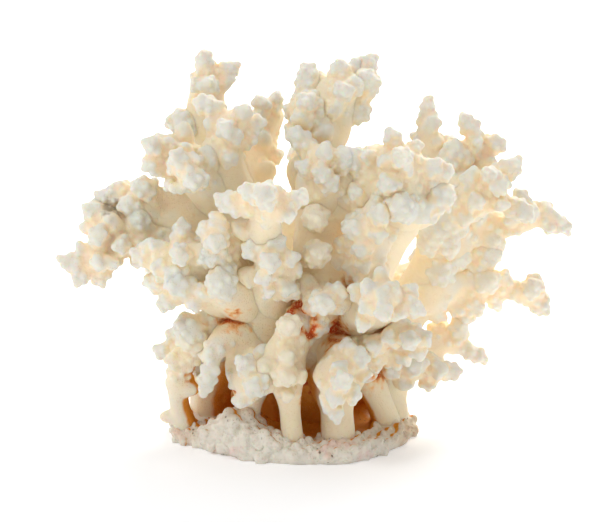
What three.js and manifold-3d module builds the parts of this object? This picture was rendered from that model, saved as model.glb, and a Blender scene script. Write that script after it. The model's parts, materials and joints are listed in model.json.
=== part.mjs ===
// A bleached branching coral colony, in millimetres with +Z up, standing on its flat cut foot.
// A thin crusty plate with a raised lip carries short columns and a trunk. Five stems rise from the
// trunk, and the branches fork from the stems. Each fork is a joint between two meshes, which keep a
// small gap there.
import * as THREE from "three";
import { mergeVertices } from "three/addons/utils/BufferGeometryUtils.js";
import Module from "manifold-3d";

const wasm = await Module();
wasm.setup();

// Driving dimensions
const forkGap = 0.4; // clearance between two pieces where they meet
const plateThickness = 5; // the crust at its middle
const plateRim = 1.5; // how far the rim is rounded
const plateOutline = [
  [-53, -5], [-46, -14], [-34, -25], [-21, -34], [-4, -41], [14, -41], [28, -31], [39, -13],
  [43, 6], [38, 26], [24, 40], [2, 47], [-22, 43], [-41, 29], [-52, 12],
]; // the plate's edge seen from above, anticlockwise
const crustLip = {
  path: [[-37, -20, 5], [-29, -24, 9], [-19, -31, 6], [-9, -36, 4]],
  radii: [4, 6.5, 4.5, 3],
}; // the raised lip of the crust along the plate's front left edge
const limbSides = 7; // sides of a limb
const limbRings = 2; // rings along each span of a limb that carries fingers
const curveSamples = 20; // places tried along a limb to find the nearest one
const endRounding = 0.8; // length of a rounded end, for each unit of its radius
const shoulderPlace = 0.6; // place of the shoulder along a rounded end, from 0 at its root to 1 at its point
const shoulderRadius = 0.8; // radius of the shoulder, for each unit of the end's radius
const tipClearance = 2; // how much further a finger tip stands off than a side does
const cutWidth = 400; // width of the block that cuts the foot flat
const cutDepth = 100; // depth of that block

// Finishes
const finishes = {
  branch: new THREE.MeshStandardMaterial({ color: "#e4dbc6", roughness: 0.85, metalness: 0 }),
  stem: new THREE.MeshStandardMaterial({ color: "#e6cfa4", roughness: 0.8, metalness: 0 }),
  crust: new THREE.MeshStandardMaterial({ color: "#dcd5c8", roughness: 0.9, metalness: 0 }),
};

// The trunk and the columns that stand on the plate. A path runs from the foot upwards, with a radius at
// each of its points.
const columns = {
  trunk: { path: [[-2, 6, 3], [-1, 5, 24], [2, 4, 42]], radii: [15, 22, 24] },
  left_wall: {
    path: [[-46, -8, 3], [-50, -13, 17], [-49, -18, 32], [-42, -20, 43], [-31, -15, 46]],
    radii: [5, 4.5, 5, 5.5, 6],
    fingers: [[-45, -27, 48], [-54, -22, 38], [-55, -14, 26], [-58, -9, 10]],
  },
  front_left_column: { path: [[-23, -22, 3], [-22, -22, 20], [-20, -16, 34]], radii: [6, 5.5, 12] },
  centre_column: {
    path: [[-5, -32, 3], [-6, -33, 17], [-7, -36, 34], [-8, -36, 50]],
    radii: [5, 4.5, 6.5, 8],
    fingers: [[-15, -44, 57], [-7, -50, 58], [-1, -45, 50], [0, -43, 38], [-9, -45, 26], [-7, -50, 36]],
  },
  front_right_column: { path: [[13, -28, 3], [12, -26, 16], [12, -17, 30]], radii: [7.5, 7, 11] },
  right_column: { path: [[33, -8, 3], [29, -10, 14], [24, -10, 27]], radii: [5.5, 5, 5] },
  outer_right_column: {
    path: [[37, 1, 3], [35, -1, 14], [30, -3, 28]],
    radii: [4.5, 4.5, 5.5],
    fingers: [[41, -2, 13], [41, 0, 21]],
  },
  cave_column: { path: [[-38, 10, 3], [-39, 8, 17], [-31, 5, 33]], radii: [10, 9, 11] },
  back_left_column: { path: [[-29, 32, 3], [-18, 22, 32]], radii: [8, 9] },
  back_column: { path: [[2, 38, 3], [1, 26, 32]], radii: [9, 10] },
  back_right_column: { path: [[27, 28, 3], [18, 18, 32]], radii: [8, 9] },
};

// The stems that rise from the trunk
const stems = {
  left_stem: {
    path: [[-8, -6, 36], [-17, -15, 52], [-23, -14, 71], [-26, -9, 87], [-27, -6, 98]],
    radii: [15, 13, 12, 11, 9],
  },
  centre_stem: {
    path: [[7, -6, 38], [6, -15, 55], [3, -16, 75], [4, -10, 92], [5, -6, 104]],
    radii: [13, 12, 11, 10, 8],
    fingers: [[3, -38, 95], [9, -35, 92], [5, -42, 84], [9, -40, 77], [-3, -36, 87]],
  },
  right_stem: { path: [[15, -2, 38], [20, -8, 57], [26, -14, 77], [33, -19, 92]], radii: [12, 11, 11, 11] },
  far_right_stem: { path: [[26, 12, 36], [43, 18, 51], [51, 18, 70], [56, 15, 87]], radii: [12, 9, 7.5, 7] },
  back_stem: { path: [[2, 18, 38], [-2, 30, 56], [-3, 36, 78]], radii: [15, 12, 10] },
};

// The branches, by crown. A finger is given by its tip and springs from the nearest path.
const leftCrown = {
  tall_left_branch: {
    path: [[-27, -2, 94], [-34, 4, 115], [-38, 8, 130], [-39, 8, 142]],
    radii: [8, 7, 8, 8],
    fingers: [[-40, 8, 154], [-45, 2, 150], [-48, 6, 144], [-46, 6, 135], [-33, 12, 149], [-26, 10, 148],
      [-27, 4, 141], [-38, -5, 143]],
  },
  left_front_branch: {
    path: [[-27, -10, 96], [-31, -16, 114], [-30, -20, 129]],
    radii: [8, 8, 8],
    fingers: [[-42, -18, 138], [-43, -20, 131], [-24, -20, 141], [-30, -26, 139], [-24, -32, 136],
      [-35, -30, 135], [-38, -28, 127], [-30, -35, 128], [-21, -28, 125], [-16, -18, 130]],
  },
  left_back_branch: {
    path: [[-22, 4, 93], [-18, 10, 110], [-15, 12, 129]],
    radii: [8, 8, 7],
    fingers: [[-18, 8, 144], [-12, 12, 142], [-8, 14, 138], [-7, 12, 131], [-19, 0, 136]],
  },
  upper_left_branch: {
    path: [[-29, -8, 97], [-42, -16, 109], [-55, -20, 119]],
    radii: [10, 9, 8],
    side: { path: [[-35, -14, 102], [-42, -28, 110], [-46, -34, 115]], radii: [6, 6.5, 7] },
    fingers: [[-66, -20, 125], [-67, -18, 118], [-61, -20, 129], [-55, -22, 126], [-60, -31, 124],
      [-50, -39, 121], [-43, -36, 121], [-61, -28, 113], [-53, -38, 112], [-41, -41, 108]],
  },
  outer_left_back_branch: {
    path: [[-31, 8, 98], [-40, 10, 114], [-47, 12, 125]],
    radii: [7, 6.5, 6.5],
    fingers: [[-53, 12, 132], [-47, 10, 132], [-54, 3, 127], [-48, -1, 125], [-42, 2, 121]],
  },
  outer_left_branch: {
    path: [[-31, -2, 86], [-49, -4, 92], [-65, -6, 98]],
    radii: [9, 9, 8.5],
    fingers: [[-74, -4, 108], [-78, -8, 104], [-80, -6, 98], [-68, -10, 107], [-63, -4, 107],
      [-65, -18, 104], [-72, -15, 100], [-57, -14, 103], [-58, -15, 94]],
  },
  far_left_branch: {
    path: [[-32, -6, 77], [-55, -8, 82], [-70, -10, 82], [-81, -12, 83]],
    radii: [9, 8, 7.5, 7],
    side: { path: [[-72, -10, 80], [-80, -11, 73], [-87, -12, 72]], radii: [6, 6, 5] },
    fingers: [[-91, -10, 90], [-86, -12, 95], [-81, -10, 95], [-75, -10, 94], [-71, -17, 93],
      [-88, -17, 84], [-79, -23, 87], [-96, -13, 75], [-91, -10, 66], [-79, -8, 63], [-80, -22, 75]],
  },
};

const leftSide = {
  left_middle_branch: {
    path: [[-24, -16, 67], [-39, -26, 76], [-49, -32, 82]],
    radii: [9, 8, 7],
    side: { path: [[-43, -22, 74], [-53, -25, 78], [-60, -26, 79]], radii: [5, 5.5, 5] },
    fingers: [[-47, -30, 94], [-53, -30, 90], [-40, -31, 90], [-48, -46, 82], [-39, -41, 85],
      [-66, -26, 79], [-60, -29, 86], [-57, -35, 76]],
  },
  left_upright_branch: {
    path: [[-27, -22, 68], [-32, -36, 81], [-34, -42, 90]],
    radii: [6.5, 6, 5.5],
    fingers: [[-33, -42, 98], [-34, -50, 88], [-30, -36, 93]],
  },
  left_low_branch: {
    path: [[-21, -16, 59], [-35, -24, 64], [-47, -30, 67]],
    radii: [9.5, 8, 7],
    side: { path: [[-22, -20, 58], [-30, -36, 66]], radii: [7, 7] },
    fingers: [[-59, -30, 66], [-56, -32, 59], [-62, -18, 67], [-51, -37, 71], [-44, -37, 62],
      [-34, -47, 74], [-28, -46, 67], [-37, -42, 63], [-25, -43, 75]],
  },
  left_stub: { path: [[-23, -14, 51], [-36, -20, 53], [-47, -22, 53]], radii: [4.6, 4.3, 3.8] },
  left_back_knobs: {
    path: [[-28, 4, 34], [-42, -2, 37], [-51, -4, 36]],
    radii: [8, 6, 5.5],
    fingers: [[-60, -4, 36], [-57, -4, 29], [-57, -6, 42], [-51, -4, 46]],
  },
};

const frontBranches = {
  front_left_branch: {
    path: [[-17, -12, 38], [-22, -28, 35], [-22, -34, 31]],
    radii: [10, 9, 8.5],
    side: { path: [[-21, -14, 45], [-31, -30, 46], [-36, -36, 41]], radii: [8, 6.5, 5] },
    fingers: [[-25, -46, 43], [-20, -49, 33], [-27, -44, 30], [-14, -40, 36], [-39, -45, 44],
      [-34, -48, 37], [-42, -42, 35], [-40, -38, 27], [-31, -44, 50]],
  },
  front_crown_branch: {
    path: [[-17, -14, 76], [-16, -44, 95], [-14, -58, 108]],
    radii: [6, 6, 8],
    fingers: [[-12, -56, 120], [-7, -54, 119], [-17, -60, 114], [-24, -54, 110], [-2, -56, 113],
      [1, -56, 108], [-5, -61, 103], [-16, -71, 109], [-9, -70, 111], [-20, -56, 97], [-12, -57, 98],
      [-27, -50, 103], [-33, -46, 105]],
  },
  middle_branch: {
    path: [[-13, -14, 55], [-13, -32, 70], [-13, -44, 81]],
    radii: [8, 7.5, 7.5],
    fingers: [[-17, -46, 90], [-10, -44, 89], [-4, -44, 82], [-20, -44, 78], [-14, -57, 83],
      [-5, -47, 75], [-6, -45, 69]],
  },
  front_knobs: {
    path: [[5, -16, 53], [5, -38, 65]],
    radii: [9, 6.5],
    fingers: [[0, -47, 71], [5, -44, 74], [13, -46, 70], [7, -55, 66]],
  },
  front_stub: { path: [[1, -14, 44], [-1, -34, 57]], radii: [5.5, 4.8] },
  front_centre_branch: {
    path: [[14, -14, 39], [13, -36, 38], [11, -48, 34]],
    radii: [9, 8.5, 8.5],
    fingers: [[16, -43, 51], [21, -46, 45], [11, -55, 47], [4, -51, 42], [14, -63, 41], [6, -62, 36],
      [8, -53, 25], [12, -48, 19], [19, -52, 28]],
  },
  front_right_branch: {
    path: [[18, -16, 52], [25, -40, 62], [31, -56, 70]],
    radii: [8, 8, 9.5],
    fingers: [[21, -58, 75], [28, -58, 80], [35, -54, 81], [41, -53, 77], [45, -50, 70], [44, -53, 63],
      [36, -63, 64], [27, -61, 62], [20, -56, 66], [30, -73, 75], [38, -67, 75]],
  },
  front_right_low_branch: {
    path: [[23, -14, 43], [34, -30, 47], [41, -40, 51]],
    radii: [10, 7.5, 6],
    side: { path: [[21, -16, 41], [27, -30, 43]], radii: [9, 8.5] },
    fingers: [[47, -45, 49], [41, -44, 57], [38, -51, 51], [30, -41, 39], [26, -43, 48], [35, -37, 57]],
  },
};

const centreCrown = {
  tall_centre_branch: {
    path: [[4, -4, 98], [5, 0, 113], [9, 2, 128], [12, 1, 142]],
    radii: [8.5, 8, 8.5, 8.5],
    fingers: [[8, 2, 150], [13, 0, 151], [18, 4, 148], [16, -14, 140], [9, -11, 142]],
  },
  tall_centre_left_branch: {
    path: [[5, -2, 116], [2, -4, 127], [-1, -4, 135]],
    radii: [6.5, 7, 7],
    fingers: [[1, 4, 148], [-4, 0, 145], [-7, 0, 137], [-8, -3, 131], [-7, 0, 124], [0, -17, 137],
      [4, -15, 133]],
  },
  tall_centre_right_branch: {
    path: [[8, 4, 124], [16, 6, 133], [23, 7, 141]],
    radii: [6.5, 7, 7],
    fingers: [[21, 6, 153], [26, 8, 152], [32, 8, 147], [33, 8, 139], [29, 4, 134], [24, 2, 129],
      [18, 6, 124], [24, -5, 144]],
  },
  centre_front_branch: {
    path: [[4, -12, 94], [5, -20, 108], [7, -25, 117]],
    radii: [8.5, 8, 8],
    fingers: [[-6, -17, 125], [-4, -25, 121], [1, -33, 122], [8, -24, 128], [14, -24, 124],
      [17, -20, 117], [6, -37, 121], [12, -34, 119], [-1, -27, 112], [7, -35, 110]],
  },
};

const rightCrown = {
  right_front_branch: {
    path: [[31, -16, 89], [36, -24, 105], [37, -26, 116]],
    radii: [12, 11, 10],
    side: { path: [[24, -16, 84], [21, -20, 103], [26, -22, 117]], radii: [8, 7.5, 7] },
    fingers: [[26, -24, 127], [31, -28, 129], [41, -24, 128], [36, -43, 120], [50, -28, 122],
      [27, -37, 118], [55, -26, 111], [45, -37, 116], [29, -41, 109]],
  },
  right_finger_branch: {
    path: [[34, -20, 94], [45, -24, 100], [53, -25, 101]],
    radii: [8, 6, 5],
    fingers: [[56, -24, 104], [42, -37, 97], [34, -43, 102], [37, -36, 90]],
  },
  right_inner_knobs: {
    path: [[20, -10, 64], [23, -22, 80], [24, -31, 92]],
    radii: [10, 10, 8],
    fingers: [[19, -38, 98], [28, -41, 99], [20, -44, 90], [28, -41, 88], [15, -36, 92]],
  },
  right_back_branch: {
    path: [[50, 14, 80], [49, 18, 100], [47, 21, 118]],
    radii: [7.5, 7, 6.5],
    fingers: [[44, 20, 133], [49, 22, 134], [40, 20, 127], [38, 16, 122], [55, 20, 123], [50, 10, 120]],
  },
  far_right_back_branch: {
    path: [[57, 16, 86], [62, 20, 100], [67, 22, 113]],
    radii: [7, 7, 6.5],
    side: { path: [[57, 17, 92], [56, 17, 108]], radii: [7, 6.5] },
    fingers: [[62, 18, 127], [67, 16, 122], [73, 24, 126], [77, 24, 121], [80, 22, 115], [60, 11, 116],
      [69, 12, 118]],
  },
  far_right_branch: {
    path: [[52, 10, 80], [64, 7, 94], [74, 6, 102]],
    radii: [8, 7.5, 7],
    side: { path: [[65, 7, 91], [76, 4, 94], [84, 3, 91]], radii: [5, 5, 4.5] },
    fingers: [[74, 8, 114], [80, 8, 114], [85, 8, 110], [82, 6, 103], [64, 0, 108], [69, -5, 109],
      [89, 2, 89], [76, -7, 100]],
  },
  outermost_right_branch: {
    path: [[55, 16, 73], [70, 20, 81], [86, 20, 82], [95, 20, 88]],
    radii: [7, 5.5, 6, 7],
    fingers: [[96, 20, 106], [100, 22, 101], [87, 18, 101], [104, 20, 95], [105, 20, 86],
      [106, 20, 78], [99, 18, 75], [96, 8, 84], [90, 16, 76], [84, 12, 97]],
  },
};

const rightSide = {
  right_twig: {
    path: [[50, 12, 64], [63, 18, 69], [74, 18, 69]],
    radii: [4, 3.3, 2.8],
    fingers: [[69, 18, 75], [76, 18, 72]],
  },
  right_low_branch: {
    path: [[42, 12, 53], [62, 18, 57], [80, 20, 55], [94, 20, 53]],
    radii: [8, 7, 5.5, 6],
    fingers: [[101, 20, 58], [102, 20, 52], [97, 20, 45], [89, 20, 46], [93, 20, 62], [81, 18, 62],
      [73, 20, 64], [66, 18, 66], [71, 16, 48], [66, 20, 43]],
  },
  right_lowest_branch: {
    path: [[29, 10, 32], [48, 15, 33], [62, 18, 33]],
    radii: [8, 6, 4.5],
    fingers: [[49, 14, 43], [55, 16, 43], [62, 18, 42], [67, 18, 38], [71, 18, 34], [74, 18, 26]],
  },
  right_hanging_branch: {
    path: [[29, -4, 32], [45, -2, 29], [55, 0, 26]],
    radii: [8, 7, 5.5],
    fingers: [[62, 2, 26], [49, 0, 19], [43, -16, 33], [51, -12, 34], [44, -12, 25]],
  },
};

const backBranches = {
  back_left_upper_branch: {
    path: [[-12, 26, 62], [-32, 42, 80], [-46, 50, 92]],
    radii: [9, 8, 8],
    fingers: [[-55, 52, 101], [-47, 60, 102], [-42, 48, 104], [-58, 44, 94], [-50, 62, 90], [-36, 58, 94]],
  },
  back_left_lower_branch: {
    path: [[-14, 24, 44], [-38, 38, 54], [-56, 44, 60]],
    radii: [9, 8, 7],
    fingers: [[-66, 44, 68], [-58, 52, 70], [-67, 46, 58], [-54, 54, 58], [-46, 46, 68], [-56, 40, 50]],
  },
  back_crown_branch: {
    path: [[-3, 36, 78], [2, 48, 92], [4, 54, 102]],
    radii: [9, 8.5, 8],
    fingers: [[-4, 50, 110], [4, 62, 112], [12, 56, 108], [12, 64, 98], [-6, 62, 100], [4, 68, 100]],
  },
  back_middle_branch: {
    path: [[0, 30, 52], [4, 50, 62], [6, 62, 72]],
    radii: [10, 8.5, 8],
    fingers: [[6, 66, 83], [-2, 68, 78], [14, 70, 76], [8, 74, 68], [-4, 66, 66], [16, 62, 64]],
  },
  back_right_upper_branch: {
    path: [[6, 30, 66], [24, 44, 84], [32, 50, 96]],
    radii: [9, 8, 8],
    fingers: [[30, 50, 108], [38, 56, 105], [24, 58, 104], [42, 46, 100], [38, 60, 94], [22, 58, 92]],
  },
  back_right_lower_branch: {
    path: [[16, 22, 44], [38, 38, 54], [52, 46, 60]],
    radii: [9, 8, 7],
    fingers: [[62, 50, 68], [54, 56, 70], [64, 48, 58], [50, 58, 58], [44, 46, 68], [54, 44, 50]],
  },
};

// A solid from a closed geometry, with its repeated corners merged
function solidOf(geometry) {
  geometry.deleteAttribute("normal");
  geometry.deleteAttribute("uv");
  const merged = mergeVertices(geometry);
  return new wasm.Manifold(new wasm.Mesh({
    numProp: 3,
    vertProperties: merged.attributes.position.array,
    triVerts: new Uint32Array(merged.index.array),
  }));
}

// The buffer geometry of a solid
function geometryOf(solid) {
  const { vertProperties, triVerts } = solid.getMesh();
  const geometry = new THREE.BufferGeometry();
  geometry.setAttribute("position", new THREE.BufferAttribute(vertProperties, 3));
  geometry.setIndex(new THREE.BufferAttribute(triVerts, 1));
  geometry.computeVertexNormals();
  return geometry;
}

const curveOf = (path) => new THREE.CatmullRomCurve3(path.map((point) => new THREE.Vector3(...point)));

// A tapering limb with rounded ends: a turned profile, bent along the path. The corner nearest to each
// finger tip is drawn out to that tip. The margin is added all round.
function limb({ path, radii }, tips, margin) {
  const curve = curveOf(path);
  const steps = (path.length - 1) * (tips.length ? limbRings : 1);
  const frames = curve.computeFrenetFrames(steps);
  const radiusAt = (share) => {
    const place = share * (radii.length - 1);
    const before = Math.min(Math.floor(place), radii.length - 2);
    return THREE.MathUtils.lerp(radii[before], radii[before + 1], place - before) + margin;
  };
  const stations = [];
  const addStation = (step, past, radius) => {
    const centre = curve.getPointAt(step / steps).addScaledVector(frames.tangents[step], past);
    stations.push({ centre, radius, across: frames.binormals[step], up: frames.normals[step] });
  };
  addStation(0, -radiusAt(0) * endRounding, 0);
  for (let step = 0; step <= steps; step++) {
    addStation(step, 0, radiusAt(step / steps));
  }
  const endLength = radiusAt(1) * endRounding;
  if (tips.length) addStation(steps, endLength * shoulderPlace, radiusAt(1) * shoulderRadius);
  addStation(steps, endLength, 0);
  const geometry = mergeVertices(bendProfile(stations));
  drawOut(geometry.getAttribute("position"), tips, curve, margin * tipClearance);
  return solidOf(geometry);
}

// Turns the stations' radii into a solid of revolution, and moves each of its rings to its own station
function bendProfile(stations) {
  const profile = stations.map(({ radius }, index) => new THREE.Vector2(radius, index));
  const geometry = new THREE.LatheGeometry(profile, limbSides);
  const position = geometry.getAttribute("position");
  const point = new THREE.Vector3();
  for (let i = 0; i < position.count; i++) {
    const { centre, across, up } = stations[i % stations.length];
    point.copy(centre).addScaledVector(across, position.getX(i)).addScaledVector(up, position.getZ(i));
    position.setXYZ(i, point.x, point.y, point.z);
  }
  geometry.deleteAttribute("normal");
  geometry.deleteAttribute("uv");
  return geometry;
}

// Moves one corner of a limb out to each finger tip, the nearest one that is still free
function drawOut(position, tips, curve, extra) {
  const free = new Set(Array.from({ length: position.count }, (_, i) => i));
  const corner = new THREE.Vector3();
  for (const tip of tips) {
    const reach = (i) => corner.fromBufferAttribute(position, i).distanceTo(tip);
    const nearest = [...free].reduce((best, i) => (reach(i) < reach(best) ? i : best));
    const outward = tip.clone().sub(nearestOn(curve, tip)).normalize();
    corner.copy(tip).addScaledVector(outward, extra);
    position.setXYZ(nearest, corner.x, corner.y, corner.z);
    free.delete(nearest);
  }
}

// The point of a curve that is nearest to a place
function nearestOn(curve, place) {
  const points = curve.getSpacedPoints(curveSamples);
  return points.reduce((best, point) => (point.distanceTo(place) < best.distanceTo(place) ? point : best));
}

// A branch, a stem or a column: its limbs joined, each with the fingers that are nearest to it
function branch({ path, radii, side, fingers = [] }, margin) {
  const limbs = side ? [{ path, radii }, side] : [{ path, radii }];
  const curves = limbs.map((one) => curveOf(one.path));
  const tips = limbs.map(() => []);
  for (const finger of fingers) {
    const tip = new THREE.Vector3(...finger);
    const gaps = curves.map((curve) => nearestOn(curve, tip).distanceTo(tip));
    tips[gaps.indexOf(Math.min(...gaps))].push(tip);
  }
  const solids = limbs.map((one, index) => limb(one, tips[index], margin));
  return solids.reduce((all, one) => all.add(one));
}

// The crusty plate, flat below and rounded at its rim
function plate(margin) {
  const edge = new THREE.Shape(plateOutline.map(([x, y]) => new THREE.Vector2(x, y)));
  const geometry = new THREE.ExtrudeGeometry(edge, {
    depth: plateThickness - plateRim + margin,
    bevelThickness: plateRim,
    bevelSize: plateRim,
    bevelOffset: margin - plateRim,
    bevelSegments: 1,
  });
  return solidOf(geometry);
}

const largestBody = (solid) => solid.decompose().sort((a, b) => b.volume() - a.volume())[0];

// Grows the whole colony: each piece stops a small gap short of the pieces that were there before it
function growColony() {
  const recipes = [
    ["base_plate", plate, "crust"],
    ["crust_lip", (margin) => branch(crustLip, margin), "crust"],
  ];
  const addAll = (pieces, finish) => {
    for (const [name, shape] of Object.entries(pieces)) {
      recipes.push([name, (margin) => branch(shape, margin), finish]);
    }
  };
  addAll(columns, "stem");
  addAll(stems, "stem");
  const crowns = [leftCrown, leftSide, frontBranches, centreCrown, rightCrown, rightSide, backBranches];
  crowns.forEach((crown) => addAll(crown, "branch"));
  const cut = new THREE.BoxGeometry(cutWidth, cutWidth, cutDepth).translate(0, 0, -cutDepth / 2);
  const earlier = [solidOf(cut)];
  const group = new THREE.Group();
  for (const [name, make, finish] of recipes) {
    const solid = largestBody(earlier.reduce((rest, other) => rest.subtract(other), make(0)));
    earlier.push(make(forkGap));
    const mesh = new THREE.Mesh(geometryOf(solid), finishes[finish]);
    mesh.name = name;
    group.add(mesh);
  }
  return group;
}

const coral = growColony();
const box = new THREE.Box3().setFromObject(coral);
const centre = box.getCenter(new THREE.Vector3());
coral.position.set(-centre.x, -centre.y, -box.min.z); // the origin is under the middle of the colony

export default coral;
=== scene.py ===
import json
import math
import bpy
import bmesh
import numpy as np
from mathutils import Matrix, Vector
from mathutils.bvhtree import BVHTree


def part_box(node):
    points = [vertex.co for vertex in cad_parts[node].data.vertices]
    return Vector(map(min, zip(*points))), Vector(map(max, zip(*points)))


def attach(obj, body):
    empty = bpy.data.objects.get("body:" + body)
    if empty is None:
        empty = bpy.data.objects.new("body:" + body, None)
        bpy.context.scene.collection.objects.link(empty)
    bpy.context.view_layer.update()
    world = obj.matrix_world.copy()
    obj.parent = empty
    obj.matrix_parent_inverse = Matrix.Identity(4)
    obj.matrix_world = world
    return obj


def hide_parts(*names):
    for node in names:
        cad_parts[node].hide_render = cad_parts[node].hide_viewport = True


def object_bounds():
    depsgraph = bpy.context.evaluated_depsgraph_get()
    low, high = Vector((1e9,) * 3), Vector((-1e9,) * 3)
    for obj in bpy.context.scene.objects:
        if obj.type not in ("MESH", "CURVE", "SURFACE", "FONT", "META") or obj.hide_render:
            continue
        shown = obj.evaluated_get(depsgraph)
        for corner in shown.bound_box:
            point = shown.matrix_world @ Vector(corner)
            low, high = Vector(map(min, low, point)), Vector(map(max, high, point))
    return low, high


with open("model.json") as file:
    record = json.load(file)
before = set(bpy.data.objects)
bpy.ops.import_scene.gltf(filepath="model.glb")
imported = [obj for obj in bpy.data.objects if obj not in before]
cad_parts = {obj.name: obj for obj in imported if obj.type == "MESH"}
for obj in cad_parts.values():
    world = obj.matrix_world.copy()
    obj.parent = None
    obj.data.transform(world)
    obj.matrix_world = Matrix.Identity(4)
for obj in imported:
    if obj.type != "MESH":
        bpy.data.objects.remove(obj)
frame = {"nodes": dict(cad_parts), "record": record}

mm = 0.001
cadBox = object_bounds()
low, high = (np.array(corner) for corner in cadBox)
middle = (low + high) / 2
nodes = frame["nodes"]
slotOf = {part["node"]: part["material_slot"] for part in frame["record"]["subparts"]}
print("frame loaded:", len(nodes), "pieces")


# Small tools for node trees

class Wire:
    # One socket of a node tree. Sums and products of wires and numbers add their Math nodes.
    def __init__(self, tree, socket):
        self.tree, self.socket = tree, socket

    def maths(self, operation, first, second=0.0, clamp=False):
        settings = {"operation": operation, "use_clamp": clamp}
        return addNode(self.tree, "ShaderNodeMath", settings, {0: first, 1: second})[0]

    def __add__(self, other):
        return self.maths("ADD", self, other)

    def __radd__(self, other):
        return self.maths("ADD", other, self)

    def __sub__(self, other):
        return self.maths("SUBTRACT", self, other)

    def __rsub__(self, other):
        return self.maths("SUBTRACT", other, self)

    def __mul__(self, other):
        return self.maths("MULTIPLY", self, other)

    def __rmul__(self, other):
        return self.maths("MULTIPLY", other, self)

    def __truediv__(self, other):
        return self.maths("DIVIDE", self, other)

    def atLeast(self, other):
        return self.maths("MAXIMUM", self, other)

    def clamped(self):
        return self.maths("ADD", self, 0.0, clamp=True)


def addNode(tree, kind, settings=None, inputs=None):
    # Adds a node, sets it up, joins its inputs, and gives its outputs back as wires.
    node = tree.nodes.new(kind)
    for name, value in (settings or {}).items():
        setattr(node, name, value)
    for key, value in (inputs or {}).items():
        if isinstance(value, Wire):
            tree.links.new(value.socket, node.inputs[key])
        else:
            node.inputs[key].default_value = value
    return [Wire(tree, output) for output in node.outputs if output.enabled]


def ramp(value, start, end):
    # 0 below start, 1 above end, smooth between. Start may be above end.
    return addNode(value.tree, "ShaderNodeMapRange", {"interpolation_type": "SMOOTHSTEP"},
                   {"Value": value, "From Min": start, "From Max": end})[0]


def mixColour(tree, share, first, second):
    node = tree.nodes.new("ShaderNodeMix")
    node.data_type = "RGBA"
    for index, value in ((0, share), (6, first), (7, second)):
        if isinstance(value, Wire):
            tree.links.new(value.socket, node.inputs[index])
        else:
            node.inputs[index].default_value = value
    return Wire(tree, node.outputs[2])


# Finishes

coralLook = {
    "tipColour": (0.70, 0.70, 0.64, 1),        # cool white of the growing ends
    "shaftColour": (0.85, 0.74, 0.54, 1),      # cream of the smooth shafts
    "creviceShadeColour": (0.82, 0.62, 0.35, 1),    # painted shade and warm glow: ochre deep between the branches
    "caveShadeColour": (0.68, 0.26, 0.02, 1),       # painted shade: brown at the back of the caves
    "stainColour": (0.50, 0.055, 0.0, 1),      # red algae left in the forks
    "haloColour": (0.86, 0.40, 0.08, 1),       # orange around it
    "dirtColour": (0.27, 0.20, 0.13, 1),       # brown specks on a few old tips
    "cupSize": 0.95 * mm,                      # distance between two cups
    "cupRelief": 0.17 * mm,
    "roughness": 0.72,
    "lightWithin": (1.0, 0.76, 0.47, 1),       # light that comes through the skeleton from behind
    "lightStrength": 0.12,
    "crowdLight": 0.5,                         # how much of that light shows between crowded branches
    "glowLight": 1.6,                          # and where the marks of the light spots are
    "caveShade": 0.8,                          # and how much less of it shows in the caves
    "stainShade": 1.5,                         # and on the stains
    "glow": 0.65,                              # share of light that travels inside the skeleton
    "glowReach": 5.5 * mm,
    # Each colour sets in at the first of these values of what was stored for it, and is full at the second
    "whiteFrom": (0.25, 0.95),
    "creviceShadeFrom": (0.45, 1.2),
    "caveShadeFrom": (0.15, 0.8),
    "haloFrom": (0.2, 0.6),
    "redFrom": (0.42, 0.75),
    "dirtFrom": (0.4, 0.9),
    "pitFrom": (0.12, 0.45),
    "rimFrom": (0.15, 0.5),
    # How much of each colour shows where it is full
    "pitShare": 0.16,
    "haloShare": 0.8,
    "redShare": 0.95,
    "dirtShare": 0.7,
}


def attribute(tree, name):
    return Wire(tree, addNode(tree, "ShaderNodeAttribute", {"attribute_name": name})[2].socket)


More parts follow.
